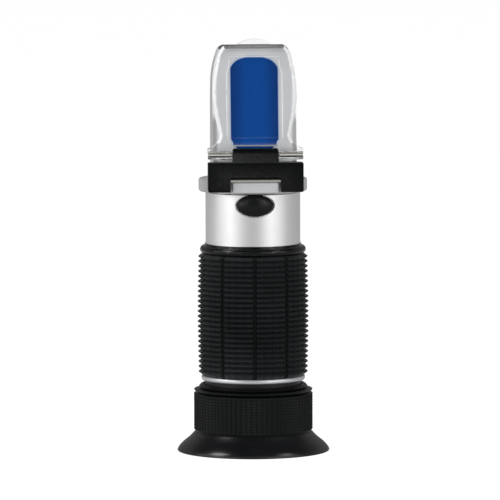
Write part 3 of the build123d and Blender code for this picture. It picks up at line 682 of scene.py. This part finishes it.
def make_pale(name, shade, roughness, grain):
    """A pale sealant or nylon with a soft uneven skin."""
    material, tree, shader = new_material(name, Specular_IOR_Level=0.4)
    skin = place_group(tree, GRAIN, (-1000, 0), Patch_Scale=90.0, Variation=0.1)
    skin.inputs["Scale"].default_value = 1 / (grain * MM)
    skin.inputs["Colour"].default_value = (*shade, 1.0)
    join(tree, skin.outputs["Colour"], shader.inputs["Base Color"])
    unevenly_rough(tree, shader, skin.outputs["Patch"], roughness - 0.05, roughness + 0.05)
    bumped(tree, shader, skin.outputs["Height"], 0.3, 0.02 * MM)
    return material


FINISHES = {"satin_metal": make_satin_metal(), "blue_glass": make_blue_glass()}
for make, table in (
    (make_black, BLACKS),
    (make_metal, METALS),
    (make_clear_plastic, CLEARS),
    (make_pale, PALES),
):
    for finish, values in table.items():
        FINISHES[finish] = make(finish, *values)

# Second finishes, for some faces of a piece
# A matt white for the plate's side and foot rims, partly painted light for the light the clear rims
# catch
RIM_PAINTED_LIGHT = make_painted_rim("rim_painted_light", (0.95, 0.955, 0.96))
# Painted shade: a dark grey for the plate's top edge, for the dark band along it
TOP_EDGE_SHADE = make_painted_rim("top_edge_painted_shade", (0.19, 0.195, 0.2))
# A dull black for grooves: in the grip's deep grooves it is darker than the rubber, painted shade;
# in the ring's course dips it only takes the gloss away
GROOVE_BLACK = make_black("groove_black", (0.0095, 0.011, 0.0116), 0.7, 0.08, 0.15, 0.005)
BEAD_BLACK = make_black("bead_black", (0.0032, 0.0038, 0.004), 0.14, 0.26, 0.2, 0.003)


def show(name, mesh, node, crease=35.0):
    """Makes a finished piece of a mesh, which stands for a CAD node and rides where it rides."""
    mesh.shade_smooth()
    mesh.set_sharp_from_angle(angle=math.radians(crease))
    piece = put_in_scene(name, mesh)
    slot = SLOT_OF[node]
    mesh.materials.clear()
    mesh.materials.append(FINISHES[slot])
    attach(piece, BODY_OF[node])
    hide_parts(node)


def even_angles(count):
    """Evenly spaced angles round the axis, with the first at the front."""
    return [2 * math.pi * step / count for step in range(count)]


def turned_mesh(name, rows, angles, cut=None):
    """A closed mesh round Z. Rows are (radius, height, cut depth), and cut(angle) is 0 to 1."""
    cut = cut or (lambda angle: 0.0)
    shares = [cut(angle) for angle in angles]
    points = []
    for radius, height, depth in rows:
        for angle, share in zip(angles, shares):
            r = (radius - depth * share) * MM
            points.append((r * math.sin(angle), -r * math.cos(angle), height * MM))
    count, turn = len(rows), len(angles)
    faces = []
    for row in range(count):
        above = (row + 1) % count
        low, high = row * turn, above * turn
        for step in range(turn):
            beside = (step + 1) % turn
            faces.append((low + step, low + beside, high + beside, high + step))
    mesh = bpy.data.meshes.new(name)
    mesh.from_pydata(points, [], faces)
    mesh.validate()
    return mesh


def plain_rows(*corners):
    """Rows with no cut, from corners (radius, height)."""
    return [(r, z, 0.0) for r, z in corners]


def arc_rows(start, middle, end, steps):
    """Corners along the circle through three points (radius, height), without the first."""
    centre, radius = circle_through(start, middle, end)
    turns = [math.atan2(z - centre[1], r - centre[0]) for r, z in (start, middle, end)]
    while turns[1] < turns[0]:
        turns[1] += 2 * math.pi
    while turns[2] < turns[0]:
        turns[2] += 2 * math.pi
    sweep = turns[2] - turns[0]
    if turns[1] > turns[2]:
        sweep -= 2 * math.pi
    corners = []
    for step in range(1, steps + 1):
        turn = turns[0] + sweep * step / steps
        corners.append((centre[0] + radius * math.cos(turn), centre[1] + radius * math.sin(turn)))
    return corners


def circle_through(a, b, c):
    """The centre and radius of the circle through three points."""
    ax, ay = a
    bx, by = b
    cx, cy = c
    d = 2 * (ax * (by - cy) + bx * (cy - ay) + cx * (ay - by))
    a2, b2, c2 = ax * ax + ay * ay, bx * bx + by * by, cx * cx + cy * cy
    ux = (a2 * (by - cy) + b2 * (cy - ay) + c2 * (ay - by)) / d
    uy = (a2 * (cx - bx) + b2 * (ax - cx) + c2 * (bx - ax)) / d
    return (ux, uy), math.hypot(ax - ux, ay - uy)


def eased(start, start_slope, end, end_slope, steps):
    """Corners of a smooth curve between two points with given directions, without the first."""
    reach = math.dist(start, end)
    corners = []
    for step in range(1, steps + 1):
        t = step / steps
        parts = (2 * t**3 - 3 * t**2 + 1, t**3 - 2 * t**2 + t, 3 * t**2 - 2 * t**3, t**3 - t**2)
        corners.append(
            tuple(
                parts[0] * start[i]
                + parts[1] * reach * start_slope[i]
                + parts[2] * end[i]
                + parts[3] * reach * end_slope[i]
                for i in (0, 1)
            )
        )
    return corners


def make_eyecup():
    """Soft flared cup with a rounded rim, a shallow bowl and its seat on the tube's flange."""
    upper, lower = CUP_FLARE
    top, lip = CUP_TOP, CUP_TOP_LIP
    corners = [top]
    out, down = CUP_LIP_BULGE
    corners += arc_rows(top, (0.5 * (top[0] + lip[0]) + out, top[1] - down), lip, 4)
    corners += eased(lip, CUP_LIP_SLOPE, upper, CUP_SLOPE, 5)
    corners += eased(upper, CUP_SLOPE, lower, CUP_SLOPE, 5)
    corners += eased(lower, CUP_SLOPE, CUP_RIM, CUP_RIM_SLOPE, 10)
    corners += arc_rows(CUP_RIM, CUP_RIM_MIDDLE, (CUP_LIP_R, 0.0), 6)
    corners += [*CUP_MOUTH, CUP_BOWL[0]]
    corners += arc_rows(*CUP_BOWL, 10)
    seat_z = TUBE_FLANGE_Z[0]
    corners += [*CUP_HOLE_EDGE, (CUP_HOLE_EDGE[-1][0], seat_z), (TUBE_FLANGE_R, seat_z)]
    corners += [(TUBE_FLANGE_R, CUP_TOP[1])]
    corners.reverse()
    mesh = turned_mesh("eyecup_skirt", plain_rows(*corners), even_angles(ROUND_STEPS))
    show("eyecup_skirt", mesh, "eyecup")


def ring_rib(angle):
    """How deep the focus ring's flutes are cut at an angle: 0 on a rib's crest, 1 in a flute."""
    return 0.5 + 0.5 * math.cos(angle * RING_RIBS)


def make_focus_ring():
    """Focus ring: upright ribs crossed by fine courses, under a stepped shoulder."""
    low, high = RING_KNURL_Z
    pitch = (high - low) / RING_COURSES
    dip, dip_cut = RING_R - RING_COURSE_DEPTH, RING_RIB_DEPTH - RING_COURSE_DEPTH
    land_low, land_high = RING_COURSE_LAND
    rows = plain_rows((TUBE_FLANGE_R, RING_FOOT[0][1]), *RING_FOOT)
    for course in range(RING_COURSES):
        foot = low + course * pitch
        rows.append((dip, foot + RING_DIP_ABOVE, dip_cut))
        rows.append((RING_R, foot + land_low * pitch, RING_RIB_DEPTH))
        rows.append((RING_R, foot + land_high * pitch, RING_RIB_DEPTH))
    rows.append((dip, high - RING_LAST_DIP_BELOW, dip_cut))
    rows += plain_rows(
        *RING_SHOULDER,
        (RING_BORE_R, RING_SHOULDER[-1][1]),
        (RING_BORE_R, RING_WEB_Z),
        (EYE_TUBE_R, RING_WEB_Z),
        (EYE_TUBE_R, TUBE_FLANGE_Z[1]),
        (TUBE_FLANGE_R, TUBE_FLANGE_Z[1]),
    )
    angles = even_angles(RING_RIBS * RING_RIB_POINTS)
    mesh = turned_mesh("focus_ring_knurled", rows, angles, ring_rib)
    show("focus_ring_knurled", mesh, "focus_ring")
    mesh.materials.append(GROOVE_BLACK)
    for polygon in mesh.polygons:
        x, y, z = polygon.center
        share = (z / MM - low) / pitch % 1.0
        outside = math.hypot(x, y) > RING_SHOULDER[0][0] * MM
        if outside and low < z / MM < high and not land_low < share < land_high:
            polygon.material_index = 1


def groove_angles():
    """Angles round the grip, packed closer at the edges of each upright groove."""
    period = 360 / GROOVES
    angles = []
    for groove in range(GROOVES):
        edge = groove_edge(groove)
        land = period - edge - groove_edge(groove + 1)
        floor_edge = GROOVE_FLOOR_SHARE * edge
        offsets = [-edge, -floor_edge, floor_edge, edge]
        offsets += [edge + land * step / LAND_STEPS for step in range(1, LAND_STEPS)]
        angles += [math.radians(groove * period + offset + GROOVE_TURN) for offset in offsets]
    return angles


def groove_edge(groove):
    """How far an upright groove reaches to each side of its middle, in degrees."""
    return GROOVE_HALF_ANGLE if groove % DEEP_GROOVE_EVERY else DEEP_HALF_ANGLE


def groove_cut(angle, share=0.6):
    """How deep an upright groove is cut within that share of its width; 0 on the land."""
    period = 360 / GROOVES
    turned = math.degrees(angle) - GROOVE_TURN
    groove = round(turned / period)
    if abs(turned - groove * period) >= share * groove_edge(groove):
        return 0.0
    return SHALLOW_GROOVE if groove % DEEP_GROOVE_EVERY else 1.0


def make_grip():
    """Rubber sleeve: a bead above ribs that are parted by upright grooves."""
    tip_in, tip_up = RIB_TIP
    last_z = RIB_FIRST_Z - (RIB_COUNT - 1) * RIB_PITCH
    rows = plain_rows((BARREL_R, BARREL_FOOT_Z), (GRIP_FOOT_R, BARREL_FOOT_Z))
    for rib in reversed(range(RIB_COUNT)):
        tip_z = RIB_FIRST_Z - rib * RIB_PITCH
        crown = math.sin(math.pi * (tip_z - last_z) / (RIB_FIRST_Z - last_z))
        tip_r = GRIP_TIP_R[0] + (GRIP_TIP_R[1] - GRIP_TIP_R[0]) * crown
        depth = tip_r - GRIP_VALLEY_R - GROOVE_FLOOR
        rows.append((GRIP_VALLEY_R, tip_z - RIB_PITCH / 2, 0.0))
        rows.append((tip_r - tip_in, tip_z - tip_up, depth - tip_in))
        rows.append((tip_r, tip_z, depth))
        rows.append((tip_r - tip_in, tip_z + tip_up, depth - tip_in))
    bead_top, bead_mid, bead_foot = GRIP_BEAD
    rows += plain_rows(GRIP_NECK, bead_foot)
    rows += plain_rows(*arc_rows(bead_foot, bead_mid, bead_top, 12))
    rows += plain_rows(GRIP_COLLAR, (BARREL_R, GRIP_COLLAR[1]))
    mesh = turned_mesh("grip_ribbed", rows, groove_angles(), groove_cut)
    show("grip_ribbed", mesh, "grip_sleeve")
    mesh.materials.append(GROOVE_BLACK)
    mesh.materials.append(BEAD_BLACK)
    for polygon in mesh.polygons:
        x, y, z = polygon.center
        if z > GRIP_BEAD_FROM_Z * MM:
            polygon.material_index = 2
        # Deep grooves take the dull groove black, darker than the rubber: painted shade
        elif groove_cut(math.atan2(x, -y), 1.0) == 1.0:
            polygon.material_index = 1


def make_trim_ring():
    """Polished ring under the grip, rounded like a wire."""
    foot, low_middle, belly, high_middle, top = TRIM_CURVE
    corners = [(BARREL_BORE_R, foot[1]), foot]
    corners += arc_rows(foot, low_middle, belly, 8)
    corners += arc_rows(belly, high_middle, top, 5)
    corners += [(BARREL_BORE_R, top[1])]
    mesh = turned_mesh("trim_ring_polished", plain_rows(*corners), even_angles(ROUND_STEPS))
    show("trim_ring_polished", mesh, "trim_ring")


def make_plug():
    """Domed oval plug that follows the barrel, with a rolled edge."""
    rings, turn = 14, 96
    swell, fall = PLUG_DOME
    shares = [ring / rings for ring in range(1, rings + 1)]
    rows = [(share, PLUG_TOP * (1 - share**swell) ** fall) for share in shares]
    rows.append((1.0, -PLUG_EDGE))
    points = [(0.0, -(BARREL_R + PLUG_TOP) * MM, SCREW_Z * MM)]
    for share, rise in rows:
        for angle in even_angles(turn):
            x = share * PLUG_HALF_WIDTH * math.cos(angle)
            z = SCREW_Z + share * PLUG_HALF_HEIGHT * math.sin(angle)
            front = math.sqrt(BARREL_R**2 - x * x) + rise
            points.append((x * MM, -front * MM, z * MM))
    back = len(points)
    for angle in even_angles(turn):
        x = PLUG_HALF_WIDTH * math.cos(angle)
        z = SCREW_Z + PLUG_HALF_HEIGHT * math.sin(angle)
        points.append((x * MM, -math.sqrt(RECESS_R**2 - x * x) * MM, z * MM))
    points.append((0.0, -RECESS_R * MM, SCREW_Z * MM))
    faces = []
    for step in range(turn):
        beside = (step + 1) % turn
        faces.append((0, 1 + step, 1 + beside))
        for row in range(len(rows)):
            low, high = 1 + row * turn, 1 + (row + 1) * turn
            faces.append((low + step, high + step, high + beside, low + beside))
        faces.append((back + turn, back + beside, back + step))
    mesh = bpy.data.meshes.new("screw_plug_dome")
    mesh.from_pydata(points, [], faces)
    show("screw_plug_dome", mesh, "screw_plug", crease=50.0)


def make_bar(name, node, bar):
    """A round bar along X with turned ends, for a CAD pin."""
    y, z, radius, half = bar
    turn = BAR_STEPS
    end_radius, shoulder = radius - BAR_CHAMFER, half - BAR_CHAMFER
    rows = [(-half, end_radius), (-shoulder, radius), (shoulder, radius), (half, end_radius)]
    points = []
    for x, r in rows:
        for angle in even_angles(turn):
            points.append((x * MM, (y + r * math.cos(angle)) * MM, (z + r * math.sin(angle)) * MM))
    last = (len(rows) - 1) * turn
    faces = [tuple(reversed(range(turn))), tuple(range(last, last + turn))]
    for row in range(len(rows) - 1):
        for step in range(turn):
            beside = (step + 1) % turn
            low, high = row * turn, (row + 1) * turn
            faces.append((low + step, low + beside, high + beside, high + step))
    mesh = bpy.data.meshes.new(name)
    mesh.from_pydata(points, [], faces)
    clean = bmesh.new()
    clean.from_mesh(mesh)
    bmesh.ops.recalc_face_normals(clean, faces=clean.faces)
    clean.to_mesh(mesh)
    clean.free()
    show(name, mesh, node, crease=30.0)


def make_softened(name, node, width):
    """A copy of a CAD node with its hard edges rounded by a width in millimetres."""
    copy = NODES[node].data.copy()
    for layer in ("custom_normal", "sharp_edge", "sharp_face"):
        if layer in copy.attributes:
            copy.attributes.remove(copy.attributes[layer])
    shape = bmesh.new()
    shape.from_mesh(copy)
    bmesh.ops.remove_doubles(shape, verts=shape.verts, dist=WELD_WITHIN * MM)
    flat = math.radians(FLAT_WITHIN)
    bmesh.ops.dissolve_limit(shape, angle_limit=flat, verts=shape.verts, edges=shape.edges)
    limit = math.radians(HARD_EDGE)
    hard = [edge for edge in shape.edges if edge.is_manifold and edge.calc_face_angle(0.0) > limit]
    bmesh.ops.bevel(
        shape,
        geom=hard,
        offset=width * MM,
        segments=3,
        profile=0.5,
        affect="EDGES",
        clamp_overlap=True,
    )
    bmesh.ops.triangulate(shape, faces=[face for face in shape.faces if len(face.verts) > 4])
    shape.to_mesh(copy)
    shape.free()
    copy.name = name
    show(name, copy, node, crease=40.0)


def make_plate():
    """The clear plate: its side and foot rims are matt white, partly painted light for the light
    clear rims catch, and its top edge is painted dark as shade; the rest is clear.
    """
    mesh = NODES["daylight_plate"].data.copy()
    mesh.name = "plate_moulding"
    show("plate_moulding", mesh, "daylight_plate", crease=40.0)
    mesh.materials.append(RIM_PAINTED_LIGHT)
    mesh.materials.append(TOP_EDGE_SHADE)
    face_out = direction(0, FACE_LEAN)
    for polygon in mesh.polygons:
        tilted = abs(polygon.normal.dot(face_out)) < FACE_WITHIN
        corner = abs(polygon.center.x) > PLATE_TOP_HALF_WIDTH * MM
        sideways = abs(polygon.normal.x) > RIM_SIDEWAYS
        beside = sideways and (polygon.normal.z < SIDE_UPWARD or corner)
        on_rim = PLATE_RIM_Z[0] * MM < polygon.center.z < PLATE_RIM_Z[1] * MM
        under = polygon.normal.z < -RIM_UPWARD and polygon.center.z < PLATE_FOOT_Z * MM
        topmost = polygon.normal.z > RIM_UPWARD and on_top(polygon.center)
        # The side and foot rims take the matt white, partly painted light
        if tilted and on_rim and (beside or under):
            polygon.material_index = 1
        # The top edge takes the painted shade
        elif tilted and topmost:
            polygon.material_index = 2


def on_top(point):
    """Whether a point is on the plate's straight top edge."""
    low, high = PLATE_TOP_EDGE_Z
    return low * MM < point.z < high * MM and abs(point.x) < PLATE_TOP_HALF_WIDTH * MM


def make_pad_highlight_line():
    """A painted highlight: a matt white line along the edge of the pad on the back of the plate,
    for the light that edge catches, faintest along its foot.
    """
    full, narrow = PAD_HALF_WIDTH
    step_low, step_high = PAD_STEP_Z
    right = [(full, PAD_FOOT_Z), (full, step_low), (narrow, step_high), (narrow, PAD_TOP_Z)]
    outline = right + [(-x, z) for x, z in reversed(right)]
    curve = bpy.data.curves.new("pad_highlight_line", "CURVE")
    curve.dimensions = "3D"
    curve.bevel_depth = PAD_LINE_R * MM
    curve.bevel_resolution = 2
    lean = math.radians(FACE_LEAN)
    curve.materials.append(RIM_PAINTED_LIGHT)
    curve.materials.append(FINISHES["clear_acrylic"])
    lines = ((outline, 1.0), ((outline[-1], outline[0]), PAD_FOOT_LINE_R / PAD_LINE_R))
    for finish, (line, share) in enumerate(lines):
        spline = curve.splines.new("POLY")
        spline.material_index = finish
        spline.points.add(len(line) - 1)
        for point, (x, z) in zip(spline.points, line):
            y = FACE_AT[0] + math.tan(lean) * (z - FACE_AT[1]) - PAD_LINE_OUT / math.cos(lean)
            point.co = (x * MM, y * MM, z * MM, 1.0)
            point.radius = share
    piece = put_in_scene("pad_highlight_line", curve)
    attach(piece, "plate")


make_camera()
make_world()
for lamp_name, lamp_values in LAMPS.items():
    make_lamp(lamp_name, *lamp_values)
make_floor()

for node, obj in NODES.items():
    obj.data.materials.clear()
    obj.data.materials.append(FINISHES[SLOT_OF[node]])

make_eyecup()
make_focus_ring()
make_grip()
make_trim_ring()
make_plug()
make_bar("hinge_rod_turned", "hinge_rod", ROD)
make_bar("plate_pin_turned", "plate_pin", PIN)
make_plate()
make_pad_highlight_line()
make_softened("hinge_arm_moulded", "hinge_arm", ARM_ROUNDING)
make_softened("head_casting", "head_block", HEAD_ROUNDING)

bpy.context.scene.view_settings.view_transform = "Standard"
